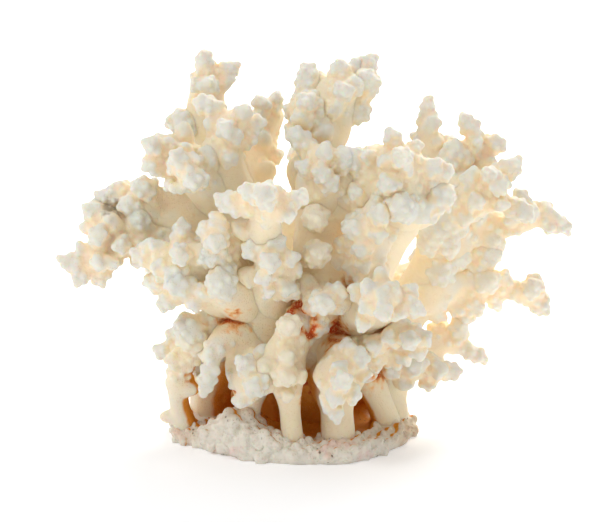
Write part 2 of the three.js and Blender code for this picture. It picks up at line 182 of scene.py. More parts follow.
def coralMaterial(name, creviceShading, whiteness):
    look = coralLook
    material = bpy.data.materials.new(name)
    material.use_nodes = True
    tree = material.node_tree
    shader = tree.nodes["Principled BSDF"]
    place = addNode(tree, "ShaderNodeTexCoord")[3]
    crown, crowd, depth, stain, dirt, glow = (attribute(tree, one) for one in
                                              ("crown", "crowd", "depth", "stain", "dirt", "glow"))

    def noise(scale, detail=3.0, rough=0.55):
        return addNode(tree, "ShaderNodeTexNoise", {},
                       {"Vector": place, "Scale": scale, "Detail": detail, "Roughness": rough})[0]

    patches = noise(70)
    fine = noise(600, 2)
    cups = addNode(tree, "ShaderNodeTexVoronoi", {"feature": "F1"},
                   {"Vector": place, "Scale": 1 / look["cupSize"], "Randomness": 0.75})[0]
    pit = 1 - ramp(cups, *look["pitFrom"])

    # The crown attribute holds the whiter growing ends, with painted shade in the hollows between their
    # knobs
    white = (ramp(crown, *look["whiteFrom"]) * whiteness + (patches - 0.5) * 0.2).clamped()
    colour = mixColour(tree, white, look["shaftColour"], look["tipColour"])
    # Painted shade: a warm ochre where the branches crowd together, standing in for the shade and warm glow
    # between them
    ochre = (ramp(crowd + (patches - 0.5) * 0.2, *look["creviceShadeFrom"]) * creviceShading).clamped()
    colour = mixColour(tree, ochre, colour, look["creviceShadeColour"])
    # Painted shade: brown at the back of the caves under the arches
    caveShading = ramp(depth + (fine - 0.5) * 0.2, *look["caveShadeFrom"]).clamped()
    colour = mixColour(tree, caveShading, colour, look["caveShadeColour"])
    # Painted shade in the cups: they take a little of the crevice colour
    colour = mixColour(tree, pit * look["pitShare"], colour, look["creviceShadeColour"])
    speckles = (noise(300, 1.5) - 0.5) * 1.1
    rims = ramp(cups, *look["rimFrom"])
    halo = ramp(stain + speckles, *look["haloFrom"]) * (0.6 + 0.4 * rims)
    colour = mixColour(tree, halo * look["haloShare"], colour, look["haloColour"])
    redness = ramp(stain + speckles, *look["redFrom"]) * (0.55 + 0.45 * rims)
    colour = mixColour(tree, redness * look["redShare"], colour, look["stainColour"])
    dirtiness = ramp(dirt + (noise(420, 2) - 0.5) * 1.2, *look["dirtFrom"])
    colour = mixColour(tree, dirtiness * look["dirtShare"], colour, look["dirtColour"])
    tree.links.new(colour.socket, shader.inputs["Base Color"])

    height = (1 - pit) * 0.8 + fine * 0.5
    bump = addNode(tree, "ShaderNodeBump", {},
                   {"Height": height, "Distance": look["cupRelief"], "Strength": 0.9})[0]
    tree.links.new(bump.socket, shader.inputs["Normal"])
    rough = look["roughness"] + pit * 0.15
    tree.links.new(rough.socket, shader.inputs["Roughness"])
    light = crowd * look["crowdLight"] + glow * look["glowLight"]
    shade = depth * look["caveShade"] + halo * look["stainShade"]
    lit = mixColour(tree, (light - shade).clamped(), (0, 0, 0, 1), look["lightWithin"])
    tree.links.new(lit.socket, shader.inputs["Emission Color"])
    shader.inputs["Emission Strength"].default_value = look["lightStrength"]
    shader.inputs["Subsurface Weight"].default_value = look["glow"]
    shader.inputs["Subsurface Radius"].default_value = (1.0, 0.62, 0.30)
    shader.inputs["Subsurface Scale"].default_value = look["glowReach"]
    shader.inputs["Specular IOR Level"].default_value = 0.35
    return material


crustLook = {
    "chalk": (0.79, 0.74, 0.64, 1),
    "pink": (0.82, 0.58, 0.54, 1),             # pink algae crust
    "ochre": (0.60, 0.42, 0.22, 1),
    "hole": (0.16, 0.10, 0.05, 1),             # painted shade inside the small borings
    "relief": 0.6 * mm,
    "boringSize": 3.2 * mm,                    # distance between two borings
    "pitSize": 1.3 * mm,                       # and between two pits
}


def crustMaterial():
    look = crustLook
    material = bpy.data.materials.new("baseCrust")
    material.use_nodes = True
    tree = material.node_tree
    shader = tree.nodes["Principled BSDF"]
    place = addNode(tree, "ShaderNodeTexCoord")[3]

    def noise(scale, detail=4.0):
        return addNode(tree, "ShaderNodeTexNoise", {},
                       {"Vector": place, "Scale": scale, "Detail": detail})[0]

    borings = addNode(tree, "ShaderNodeTexVoronoi", {"feature": "F1"},
                      {"Vector": place, "Scale": 1 / look["boringSize"], "Randomness": 1.0})[0]
    hole = (1 - ramp(borings, 0.10, 0.20)) * ramp(noise(90), 0.54, 0.64)
    pits = addNode(tree, "ShaderNodeTexVoronoi", {"feature": "F1"},
                   {"Vector": place, "Scale": 1 / look["pitSize"], "Randomness": 0.9})[0]
    colour = mixColour(tree, ramp(noise(75), 0.58, 0.70) * 0.6, look["chalk"], look["pink"])
    colour = mixColour(tree, ramp(noise(38), 0.5, 0.75) * 0.6, colour, look["ochre"])
    crowd = attribute(tree, "crowd")
    # Painted shade: the same warm ochre where the crust is crowded
    colour = mixColour(tree, ramp(crowd, 0.4, 1.0) * 0.6, colour, coralLook["creviceShadeColour"])
    # Painted shade in the pits: a little ochre
    colour = mixColour(tree, (1 - ramp(pits, 0.1, 0.4)) * 0.15, colour, look["ochre"])
    # Painted shade: brown at the back of the caves under the arches
    caveShading = ramp(attribute(tree, "depth") + (noise(200) - 0.5) * 0.4, 0.15, 0.8)
    colour = mixColour(tree, caveShading, colour, coralLook["caveShadeColour"])
    # Painted shade: the borings are near black inside
    colour = mixColour(tree, hole * 0.85, colour, look["hole"])
    tree.links.new(colour.socket, shader.inputs["Base Color"])
    height = ramp(pits, 0.1, 0.5) * 0.5 + noise(400) * 0.6 - hole
    bump = addNode(tree, "ShaderNodeBump", {},
                   {"Height": height, "Distance": look["relief"], "Strength": 0.8})[0]
    tree.links.new(bump.socket, shader.inputs["Normal"])
    shader.inputs["Roughness"].default_value = 0.85
    shader.inputs["Subsurface Weight"].default_value = 0.15
    shader.inputs["Subsurface Scale"].default_value = 2 * mm
    shader.inputs["Specular IOR Level"].default_value = 0.3
    return material


finishes = {
    "coral_branches": coralMaterial("coralBranches", creviceShading=0.75, whiteness=1.0),
    "coral_stems": coralMaterial("coralStems", creviceShading=0.85, whiteness=0.5),
    "base_crust": crustMaterial(),
}
print("finishes made")


# Shapes: small tools for meshes and for Geometry Nodes trees

def newTree(name, sizes):
    # A Geometry Nodes tree with a geometry input and output, and one input for each size.
    tree = bpy.data.node_groups.new(name, "GeometryNodeTree")
    tree.interface.new_socket("Geometry", in_out="INPUT", socket_type="NodeSocketGeometry")
    tree.interface.new_socket("Geometry", in_out="OUTPUT", socket_type="NodeSocketGeometry")
    kinds = {float: "NodeSocketFloat", int: "NodeSocketInt", bpy.types.Object: "NodeSocketObject",
             bpy.types.Material: "NodeSocketMaterial"}
    for label, kind in sizes.items():
        tree.interface.new_socket(label, in_out="INPUT", socket_type=kinds[kind])
    entry = tree.nodes.new("NodeGroupInput")
    return tree, {output.name: Wire(tree, output) for output in entry.outputs if output.name}


def endTree(tree, geometry, material):
    # Realizes what was instanced, sets the finish, and ends the tree.
    real = addNode(tree, "GeometryNodeRealizeInstances", {}, {"Geometry": geometry})[0]
    done = addNode(tree, "GeometryNodeSetMaterial", {}, {"Geometry": real, "Material": material})[0]
    last = tree.nodes.new("NodeGroupOutput")
    tree.links.new(done.socket, last.inputs["Geometry"])


def addTree(thing, tree, values):
    # Puts a tree on an object, with its inputs set by their identifiers.
    modifier = thing.modifiers.new(tree.name, "NODES")
    modifier.node_group = tree
    for item in tree.interface.items_tree:
        if item.in_out == "INPUT" and item.name in values:
            modifier[item.identifier] = values[item.name]


def remeshed(thing, grain, smoothing):
    # One skin over everything in the object. Its corners and faces are put in order of place, because they
    # come in no fixed order and the knobs are scattered by their numbers.
    remesh = thing.modifiers.new("remesh", "REMESH")
    remesh.mode = "VOXEL"
    remesh.voxel_size = grain
    skin = bake(thing)
    places = vectorsOf(skin)
    corners = np.empty(len(skin.loops), np.int32)
    skin.loops.foreach_get("vertex_index", corners)
    order = np.lexsort(places.T)
    rank = np.empty(len(order), np.int64)
    rank[order] = np.arange(len(order))
    faces = rank[corners.reshape(-1, 4)]
    turns = (np.argmin(faces, axis=1)[:, None] + np.arange(4)) % 4
    faces = np.take_along_axis(faces, turns, axis=1)
    faces = faces[np.lexsort(faces.T[::-1])]
    mesh = bpy.data.meshes.new(thing.name)
    mesh.vertices.add(len(places))
    mesh.vertices.foreach_set("co", places[order].astype(np.float32).ravel())
    mesh.loops.add(faces.size)
    mesh.loops.foreach_set("vertex_index", faces.astype(np.int32).ravel())
    mesh.polygons.add(len(faces))
    mesh.polygons.foreach_set("loop_start", np.arange(0, faces.size, 4, dtype=np.int32))
    mesh.update(calc_edges=True)
    thing.data = mesh
    bpy.data.meshes.remove(skin)
    smooth = thing.modifiers.new("smooth", "SMOOTH")
    smooth.factor = 0.5
    smooth.iterations = smoothing


def bake(thing):
    # Makes an object's evaluated shape its plain mesh, and removes its modifiers.
    graph = bpy.context.evaluated_depsgraph_get()
    mesh = bpy.data.meshes.new_from_object(thing.evaluated_get(graph), depsgraph=graph)
    thing.modifiers.clear()
    old, thing.data = thing.data, mesh
    bpy.data.meshes.remove(old)
    return mesh


def newThing(name, mesh):
    thing = bpy.data.objects.new(name, mesh)
    bpy.context.scene.collection.objects.link(thing)
    return thing


def vectorsOf(mesh, kind="co"):
    # The places of a mesh's corners, or their normals.
    flat = np.empty(len(mesh.vertices) * 3, np.float32)
    mesh.vertices.foreach_get(kind, flat)
    return flat.reshape(-1, 3).astype(float)


def valuesOf(mesh, name):
    values = np.empty(len(mesh.vertices), np.float32)
    mesh.attributes[name].data.foreach_get("value", values)
    return values


def setAttribute(mesh, name, values):
    kind, field = ("FLOAT_VECTOR", "vector") if np.ndim(values) == 2 else ("FLOAT", "value")
    layer = mesh.attributes.new(name, kind, "POINT")
    layer.data.foreach_set(field, np.ascontiguousarray(values, np.float32).ravel())


def smoothStep(values, start, end):
    share = np.clip((values - start) / (end - start), 0, 1)
    return share * share * (3 - 2 * share)


def nearestGap(points, targets):
    # Distance from each point to the nearest target, or one metre if there is none.
    gaps = np.full(len(points), 1.0)
    for target in targets:
        gaps = np.minimum(gaps, np.linalg.norm(points - target, axis=1))
    return gaps


def named(tree, name, vector=False):
    kind = "FLOAT_VECTOR" if vector else "FLOAT"
    return addNode(tree, "GeometryNodeInputNamedAttribute", {"data_type": kind}, {"Name": name})[0]


def scaled(tree, vector, size):
    return addNode(tree, "ShaderNodeVectorMath", {"operation": "SCALE"}, {0: vector, "Scale": size})[0]


def joined(tree, *parts):
    join = tree.nodes.new("GeometryNodeJoinGeometry")
    for part in parts:
        tree.links.new(part.socket, join.inputs[0])
    return Wire(tree, join.outputs[0])


def eggs(tree, points, outward, radius, length):
    # One egg on each point, its long way along outward.
    egg = addNode(tree, "GeometryNodeMeshIcoSphere", {}, {"Radius": 1.0, "Subdivisions": 2})[0]
    turn = addNode(tree, "FunctionNodeAlignRotationToVector", {"axis": "Z"}, {"Vector": outward})[0]
    size = addNode(tree, "ShaderNodeCombineXYZ", {}, {0: radius, 1: radius, 2: radius * length})[0]
    return addNode(tree, "GeometryNodeInstanceOnPoints", {},
                   {"Points": points, "Instance": egg, "Rotation": turn, "Scale": size})[0]


def randomBetween(tree, least, most, seed):
    return addNode(tree, "FunctionNodeRandomValue", {"data_type": "FLOAT"},
                   {2: least, 3: most, "Seed": seed})[0]


def fingerTree():
    # An egg-shaped lobe at each finger tip, sunk so that its end is the tip.
    tree, wires = newTree("fingerLobes", {"Thinnest": float, "Thickest": float, "Length": float,
                                          "Sunk": float, "Stoutness": float, "Seed": int,
                                          "Finish": bpy.types.Material})
    outward = addNode(tree, "ShaderNodeVectorMath", {"operation": "NORMALIZE"},
                      {0: named(tree, "outward", vector=True)})[0]
    points = addNode(tree, "GeometryNodeMeshToPoints", {},
                     {"Mesh": wires["Geometry"], "Selection": named(tree, "tip")})[0]
    radius = randomBetween(tree, wires["Thinnest"], wires["Thickest"], wires["Seed"])
    stretch = named(tree, "stretch")
    radius = radius.atLeast(stretch * wires["Stoutness"])
    length = stretch.atLeast(radius * wires["Length"])
    sunk = scaled(tree, outward, length * wires["Sunk"] * -1)
    points = addNode(tree, "GeometryNodeSetPosition", {}, {"Geometry": points, "Offset": sunk})[0]
    lobes = eggs(tree, points, outward, radius, length / radius)
    endTree(tree, joined(tree, lobes, wires["Geometry"]), wires["Finish"])
    return tree


knobsTried = 600000.0       # places tried for knobs on a square metre; those too near others are dropped


def scatterTree():
    # Eggs spread over the surface where share is high, larger where bulk is, leaning along the lean vector.
    tree, wires = newTree("scatteredKnobs", {"Spacing": float, "Thinnest": float, "Thickest": float,
                                             "Length": float, "Lift": float, "Lean": float, "Seed": int,
                                             "Finish": bpy.types.Material})
    spread = addNode(tree, "GeometryNodeDistributePointsOnFaces", {"distribute_method": "POISSON"},
                     {"Mesh": wires["Geometry"], "Distance Min": wires["Spacing"],
                      "Density Max": knobsTried, "Density Factor": named(tree, "share"),
                      "Seed": wires["Seed"]})
    points, normal = spread[0], spread[1]
    radius = randomBetween(tree, wires["Thinnest"], wires["Thickest"], wires["Seed"])
    radius = radius * (named(tree, "bulk") + 1)
    lean = scaled(tree, named(tree, "lean", vector=True), wires["Lean"])
    outward = addNode(tree, "ShaderNodeVectorMath", {"operation": "ADD"}, {0: normal, 1: lean})[0]
    lift = scaled(tree, normal, radius * wires["Lift"])
    points = addNode(tree, "GeometryNodeSetPosition", {}, {"Geometry": points, "Offset": lift})[0]
    knobs = eggs(tree, points, outward, radius, wires["Length"])
    endTree(tree, joined(tree, knobs, wires["Geometry"]), wires["Finish"])
    return tree


def forkTree():
    # Swells a piece where it nears its neighbours, so that the two surfaces meet in a round fillet.
    tree, wires = newTree("grownForks", {"Neighbours": bpy.types.Object, "Reach": float,
                                         "Finish": bpy.types.Material})
    distance = gapTo(tree, wires["Neighbours"])
    near = (wires["Reach"] - distance).atLeast(0.0)
    push = scaled(tree, addNode(tree, "GeometryNodeInputNormal")[0], near * near / (wires["Reach"] * 4))
    moved = addNode(tree, "GeometryNodeSetPosition", {},
                    {"Geometry": wires["Geometry"], "Offset": push})[0]
    endTree(tree, storedGap(tree, moved, distance), wires["Finish"])
    return tree


def creaseTree():
    # Stores how far each place of a piece is from its neighbours.
    tree, wires = newTree("creases", {"Neighbours": bpy.types.Object, "Finish": bpy.types.Material})
    endTree(tree, storedGap(tree, wires["Geometry"], gapTo(tree, wires["Neighbours"])), wires["Finish"])
    return tree


def gapTo(tree, neighbours):
    outputs = addNode(tree, "GeometryNodeObjectInfo", {}, {"Object": neighbours})
    shape = next(wire for wire in outputs if wire.socket.name == "Geometry")
    near = addNode(tree, "GeometryNodeProximity", {"target_element": "FACES"}, {0: shape})
    return next(wire for wire in near if wire.socket.name == "Distance")


def storedGap(tree, geometry, distance):
    return addNode(tree, "GeometryNodeStoreNamedAttribute", {"data_type": "FLOAT", "domain": "POINT"},
                   {"Geometry": geometry, "Name": "gap", "Value": distance})[0]


fingers, scatter, forks, creases = fingerTree(), scatterTree(), forkTree(), creaseTree()


# Rough shapes: each piece of the frame slimmed at its crown, with lobes at its finger tips and between them

roughLook = {
    "tipRise": 1.8 * mm,        # a finger tip stands this far above the corners around it
    "thinTwigs": {"right_twig": 0.9 * mm, "right_finger_branch": 0.9 * mm},   # on thin ones, only this far
    "neighbourReach": 12 * mm,  # pieces whose boxes are nearer than this count as neighbours
    "forkReach": 1.6 * mm,      # a corner this near another piece belongs to a fork
    "lowestTip": 9 * mm,
    "slimming": 1.8 * mm,       # how far the crown is drawn in before it gets its lobes
    "coreGrain": 1.5 * mm,
    "coreSmoothing": {"coral_branches": 8, "coral_stems": 9, "base_crust": 1},
    "lobeRadius": (3.0 * mm, 4.2 * mm),
    "lobeLength": 1.9,          # length of a lobe for each unit of its width
    "lobeSunk": 0.9,
    "lobeStoutness": 0.36,      # least radius of a long lobe, for each unit of half its length
    "lobeRoot": 3.0 * mm,       # how far a lobe reaches into the branch that it stands on
    "crown": (9 * mm, 20 * mm),  # the crown fades out between these distances from a finger tip
    "tipRoom": (5 * mm, 8 * mm),  # the sides of a crown get no lobes nearer to a finger tip than this
    "crownSpacing": 7.5 * mm,   # between the lobes on the sides of a crown
    "crownRadius": (2.6 * mm, 3.6 * mm),
    "crownLength": 1.8,
    "crownLift": 0.4,           # how far a lobe's middle stands off the surface, for each unit of radius
    "crownLean": 0.7,           # how strongly the lobes lean the way the colony grows
    "bareNodes": ("left_wall",),   # pieces that have finger tips but no lobes on their sides
    "growthHeight": 25 * mm,    # the colony grows out from this height
    "grain": 1.0 * mm,          # voxel size
    "smoothing": 2,
}
growthOrigin = np.array([middle[0], middle[1], roughLook["growthHeight"]])


def mergedCopy(node):
    mesh = nodes[node].data.copy()
    shape = bmesh.new()
    shape.from_mesh(mesh)
    bmesh.ops.remove_doubles(shape, verts=shape.verts, dist=0.001 * mm)
    shape.normal_update()
    shape.to_mesh(mesh)
    shape.free()
    mesh.materials.clear()
    return mesh


def surfaceOf(meshes):
    # One search tree over several meshes.
    points, faces, start = [], [], 0
    for mesh in meshes:
        points += [vertex.co.copy() for vertex in mesh.vertices]
        faces += [[start + index for index in face.vertices] for face in mesh.polygons]
        start += len(mesh.vertices)
    return BVHTree.FromPolygons(points, faces)


def boxesTouch(first, second, margin):
    return all(first[0][axis] - margin < second[1][axis] and second[0][axis] - margin < first[1][axis]
               for axis in range(3))


def findTips(mesh, others, least):
    # The corners that stand above the ones around them, away from every fork, and the highest of these.
    shape = bmesh.new()
    shape.from_mesh(mesh)
    shape.normal_update()
    shape.verts.ensure_lookup_table()
    rises = []
    for corner in shape.verts:
        around = [edge.other_vert(corner).co for edge in corner.link_edges]
        rises.append((corner.co - sum(around, Vector()) / len(around)).dot(corner.normal))
    spikes, tips = np.zeros(len(rises), bool), np.zeros(len(rises), bool)
    for corner, rise in zip(shape.verts, rises):
        if rise > least and corner.co.z > roughLook["lowestTip"]:
            spikes[corner.index] = others.find_nearest(corner.co, roughLook["forkReach"])[0] is None
            highest = all(rise > rises[edge.other_vert(corner).index] for edge in corner.link_edges)
            tips[corner.index] = spikes[corner.index] and highest
    shape.free()
    return spikes, tips


def growthWay(points):
    way = points - growthOrigin
    return way / np.linalg.norm(way, axis=1)[:, None]


merged = {name: mergedCopy(name) for name in nodes}
boxes = {name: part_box(name) for name in nodes}
neighbours = {}
for name in nodes:
    neighbours[name] = [other for other in nodes if other != name
                        and boxesTouch(boxes[name], boxes[other], roughLook["neighbourReach"])]
fingered = [name for name in nodes if slotOf[name] == "coral_branches"]
fingered += ["centre_stem", "centre_column", "left_wall"]


def smoothCore(name, spikes, tips):
    # The piece without its fingers: its tips pulled back to the corners around them, its crown drawn in.
    mesh = merged[name].copy()
    points, normals = vectorsOf(mesh), vectorsOf(mesh, "normal")
    share = 1 - smoothStep(nearestGap(points, points[tips]), *roughLook["crown"])
    if slotOf[name] == "coral_stems":
        share = share * 0
    slimmed = points - normals * (roughLook["slimming"] * share)[:, None]
    edges = np.empty(len(mesh.edges) * 2, np.int32)
    mesh.edges.foreach_get("vertices", edges)
    edges = edges.reshape(-1, 2)
    for corner in np.flatnonzero(spikes):
        ends = edges[(edges == corner).any(axis=1)].ravel()
        ends = ends[ends != corner]
        ends = ends if spikes[ends].all() else ends[~spikes[ends]]
        slimmed[corner] = slimmed[ends].mean(axis=0) + normals[corner] * roughLook["slimming"]
    mesh.vertices.foreach_set("co", slimmed.astype(np.float32).ravel())
    thing = newThing(name + "_core", mesh)
    remeshed(thing, roughLook["coreGrain"], roughLook["coreSmoothing"][slotOf[name]])
    core = bake(thing)
    bpy.data.objects.remove(thing)
    return core


def withTips(name, core, tips):
    # The core and one loose corner for each finger tip, with what the trees read stored on both.
    faces = [list(face.vertices) for face in core.polygons]
    places = vectorsOf(core)
    surface = surfaceOf([core])
    roots = np.array([surface.find_nearest(Vector(tip))[0] for tip in tips]).reshape(-1, 3)
    stretch = np.linalg.norm(tips - roots, axis=1)
    outward = (tips - roots) / (stretch[:, None] + 1e-9)
    mesh = bpy.data.meshes.new(name + "_rough")
    mesh.from_pydata(np.concatenate([places, tips]).tolist(), [], faces)
    gaps = nearestGap(places, tips)
    share = (1 - smoothStep(gaps, *roughLook["crown"])) * smoothStep(gaps, *roughLook["tipRoom"])
    share = share * smoothStep(places[:, 2], roughLook["lowestTip"], 2 * roughLook["lowestTip"])
    if name in roughLook["bareNodes"]:
        share = share * 0
    extra = np.zeros(len(tips))
    setAttribute(mesh, "tip", np.concatenate([np.zeros(len(places)), extra + 1]))
    setAttribute(mesh, "outward", np.concatenate([growthWay(places), outward]))
    setAttribute(mesh, "share", np.concatenate([share, extra]))
    setAttribute(mesh, "bulk", np.zeros(len(places) + len(tips)))
    setAttribute(mesh, "lean", np.concatenate([growthWay(places), outward]))
    halfLengths = stretch / 2 + roughLook["lobeRoot"]
    setAttribute(mesh, "stretch", np.concatenate([np.zeros(len(places)), halfLengths]))
    return mesh


tipsOf, rough = {}, {}
for seed, name in enumerate(nodes):
    points = vectorsOf(merged[name])
    spikes, tips = np.zeros((2, len(points)), bool)
    if name in fingered:
        others = surfaceOf([merged[other] for other in neighbours[name]])
        least = roughLook["thinTwigs"].get(name, roughLook["tipRise"])
        spikes, tips = findTips(merged[name], others, least)
    tipsOf[name] = points[tips]
    core = smoothCore(name, spikes, tips)
    mesh = withTips(name, core, tipsOf[name])
    thing = newThing(name + "_rough", mesh)
    finish = finishes[slotOf[name]]
    thinnest, thickest = roughLook["crownRadius"]
    addTree(thing, scatter, {"Spacing": roughLook["crownSpacing"], "Thinnest": thinnest,
                             "Thickest": thickest, "Length": roughLook["crownLength"],
                             "Lift": roughLook["crownLift"], "Lean": roughLook["crownLean"], "Seed": seed,
                             "Finish": finish})
    thinnest, thickest = roughLook["lobeRadius"]
    addTree(thing, fingers, {"Thinnest": thinnest, "Thickest": thickest, "Length": roughLook["lobeLength"],
                             "Sunk": roughLook["lobeSunk"], "Stoutness": roughLook["lobeStoutness"],
                             "Seed": seed, "Finish": finish})
    remeshed(thing, roughLook["grain"], roughLook["smoothing"])
    bake(thing)
    rough[name] = thing
print("rough shapes:", sum(len(one.data.vertices) for one in rough.values()), "corners,",
      sum(len(tips) for tips in tipsOf.values()), "finger tips")


# Grown shapes: forks grown together, warts over the crowns, and lumps round the rim of the plate

forkLook = {"reach": 13 * mm}           # distance over which two pieces grow together
wartLook = {
    "spacing": 3.5 * mm,
    "radius": (1.4 * mm, 2.1 * mm),
    "length": 1.0,
    "lift": -0.22,              # how far a wart's middle stands off the surface, for each unit of radius
    "fade": (7 * mm, 20 * mm),  # the warts fade out between these distances from a finger tip
    "stemHeights": (22 * mm, 30 * mm),   # stems and columns have none below these heights
    "forkRoom": (1.2 * mm, 3 * mm),      # and nothing has any this near to another piece
}
rimLook = {
    "forkReach": 13 * mm,       # how far the crust climbs the feet of the columns
    "spacing": 3.4 * mm,
    "radius": (1.0 * mm, 2.3 * mm),
    "length": 1.0,
    "lift": 0.15,
    "lean": 0.5,                # how strongly the lumps lean upwards
    "rimPlace": (0.72, 0.88),   # where the lumpy rim starts, as shares of the plate's half width
    "lipHeight": (6 * mm, 8 * mm),       # all that is higher than this is lumpy too
    "footHeight": (0.8 * mm, 2 * mm),    # and nothing is that is lower than this
    "cuffNode": "front_left_column",     # the crust is thicker in front of this column
    "cuffReach": (6 * mm, 16 * mm),
    "cuffBulk": 0.6,
    "cutHeight": 0.7 * mm,      # the foot is cut flat up to here
}
fineLook = {"grain": 0.62 * mm, "smoothing": 4}


def joinedNeighbours(name):
    # One plain object that holds the rough shapes of a piece's neighbours. Only the crust reaches for the
    # crust: a column stays as it is at its foot, and the plate's crust climbs it.
    others = [other for other in neighbours[name]
              if slotOf[other] != "base_crust" or slotOf[name] == "base_crust"]
    points, faces, start = [], [], 0
    for other in others:
        mesh = rough[other].data
        points.append(vectorsOf(mesh))
        mesh.calc_loop_triangles()
        triangles = np.empty(len(mesh.loop_triangles) * 3, np.int32)
        mesh.loop_triangles.foreach_get("vertices", triangles)
        faces.append(triangles.reshape(-1, 3) + start)
        start += len(mesh.vertices)
    mesh = bpy.data.meshes.new(name + "_neighbours")
    mesh.from_pydata(np.concatenate(points).tolist(), [], np.concatenate(faces).tolist())
    return newThing(name + "_neighbours", mesh)


def rimShare(points):
    # High on the outer rim of the plate and over its raised lip, and higher in front of the cuffed column.
    edge = boxes["base_plate"]
    centre = (np.array(edge[0]) + np.array(edge[1])) / 2
    half = (np.array(edge[1]) - np.array(edge[0])) / 2
    reach = np.hypot((points[:, 0] - centre[0]) / half[0], (points[:, 1] - centre[1]) / half[1])
    foot = boxes[rimLook["cuffNode"]]
    footMiddle = np.array([(foot[0].x + foot[1].x) / 2, foot[0].y, 0])
    gap = np.linalg.norm((points - footMiddle)[:, :2], axis=1)
    cuff = 1 - smoothStep(gap, *rimLook["cuffReach"])
    height = points[:, 2]
    rim = np.maximum(smoothStep(reach, *rimLook["rimPlace"]), smoothStep(height, *rimLook["lipHeight"]))
    return rim * smoothStep(height, *rimLook["footHeight"]), cuff


around, pieces = {}, []
for name, thing in rough.items():
    around[name] = joinedNeighbours(name)
    reach = rimLook["forkReach"] if slotOf[name] == "base_crust" else forkLook["reach"]
    copy = newThing(name + "_skin", thing.data.copy())
    addTree(copy, forks, {"Neighbours": around[name], "Reach": reach, "Finish": finishes[slotOf[name]]})
    bake(copy)
    pieces.append(copy)
for thing in rough.values():
    bpy.data.objects.remove(thing)
print("forks grown together")

for seed, (name, piece) in enumerate(zip(nodes, pieces)):
    mesh = piece.data
    points = vectorsOf(mesh)
    if slotOf[name] == "base_crust":
        look = rimLook
        share, cuff = rimShare(points)
        bulk, lean = cuff * look["cuffBulk"], look["lean"]
        lengthways = np.tile([0.0, 0, 1], (len(points), 1))
    else:
        look = wartLook
        share = 1 - smoothStep(nearestGap(points, tipsOf[name]), *look["fade"])
        if slotOf[name] == "coral_stems":
            share = share * smoothStep(points[:, 2], *look["stemHeights"])
        share = share * smoothStep(valuesOf(mesh, "gap"), *look["forkRoom"])
        bulk, lean = np.zeros(len(points)), 0.0
        lengthways = growthWay(points)
    setAttribute(mesh, "share", share)
    setAttribute(mesh, "bulk", bulk)
    setAttribute(mesh, "lean", lengthways)
    finish = finishes[slotOf[name]]
    thinnest, thickest = look["radius"]
    addTree(piece, scatter, {"Spacing": look["spacing"], "Thinnest": thinnest, "Thickest": thickest,
                             "Length": look["length"], "Lift": look["lift"], "Lean": lean, "Seed": seed,
                             "Finish": finish})
    remeshed(piece, fineLook["grain"], fineLook["smoothing"])
    addTree(piece, creases, {"Neighbours": around[name], "Finish": finish})
    bake(piece)
    bpy.data.objects.remove(around[name])

for name, piece in zip(nodes, pieces):
    if slotOf[name] != "base_crust":
        continue
    points = vectorsOf(piece.data)
    points[:, 2] = np.where(points[:, 2] < rimLook["cutHeight"], 0, points[:, 2])
    piece.data.vertices.foreach_set("co", points.astype(np.float32).ravel())
    piece.data.update()
print("fine shapes:", sum(len(piece.data.polygons) for piece in pieces), "faces, largest",
      max(len(piece.data.polygons) for piece in pieces))


# Shade and marks: how crowded each place is and how it stands out, for the painted shade and glow, the
# painted shade of the caves, the spots of painted glow, and the marks of age, all stored for the finishes

shadeAndMarkLook = {
    "cell": 2.0 * mm,           # size of a grid cell
    "margin": 20 * mm,          # how far the grid reaches beyond the colony
    "crowdReach": 5,            # cells that the crowding is averaged over, each way
    "reliefReach": 1,           # cells that the middle of the surface is averaged over, each way
    "openCrowd": 0.9,           # crowding at a free branch end
    "fullCrowd": 2.0,           # crowding in a tight fork
    "hollow": -0.4 * mm,        # relief at the bottom between two knobs
    "knob": 1.5 * mm,           # relief at the top of a knob
    "crown": (10 * mm, 30 * mm),       # the white of the crown fades out between these distances from a tip
    "caveHeight": (24 * mm, 42 * mm),  # the painted cave shade fades out between these heights
    "caveInside": (0.55, 0.75),  # and between these shares of the plate's half width
    "caveFacing": (-0.4, 0.3),   # faces that look inwards get the painted cave shade out to the rim
    "branchCave": 0.3,          # branches get only this share of it
    "standOff": 5 * mm,         # the crowding is measured this far outside the surface
    "crease": (2.2 * mm, 5 * mm),      # distances from another piece over which a crease fades out
    "creaseCrowd": 0.5,         # a crease counts as at least this crowded
    "creaseStain": 0.3,         # share of a stain that shows only in a crease
    "hollowShade": 0.8,         # share of the white that shows only on top of the knobs; the hollows between them get painted shade
}
# Each mark: its node, its place as a share of that node's box, the radius of its ring, and its reach
stains = [
    ("left_stub", (0.9, 0.5, 0.6), 0, 13 * mm),
    ("left_low_branch", (0.8, 0.35, 0.15), 0, 10 * mm),
    ("front_left_branch", (0.45, 0.6, 0.97), 0, 10 * mm),
    ("front_stub", (0.45, 0.1, 0.75), 6 * mm, 4 * mm),
    ("centre_stem", (0.15, 0.45, 0.34), 0, 8 * mm),
    ("front_right_branch", (0.1, 0.8, 0.45), 0, 13 * mm),
    ("front_right_branch", (0.02, 0.8, 0.2), 0, 12 * mm),
    ("front_centre_branch", (0.4, 0.6, 0.85), 0, 10 * mm),
    ("front_right_low_branch", (0.45, 0.35, 0.7), 0, 7 * mm),
    ("front_right_low_branch", (0.3, 0.6, 0.1), 0, 11 * mm),
    ("right_column", (0.3, 0.3, 0.95), 0, 12 * mm),
    ("centre_column", (0.95, 0.8, 0.4), 0, 9 * mm),
    ("trunk", (0.5, 0.1, 0.35), 0, 12 * mm),
    ("trunk", (0.2, 0.2, 0.3), 0, 11 * mm),
    ("cave_column", (0.6, 0.35, 0.35), 0, 9 * mm),
    ("front_left_column", (0.2, 0.25, 0.55), 0, 8 * mm),
]
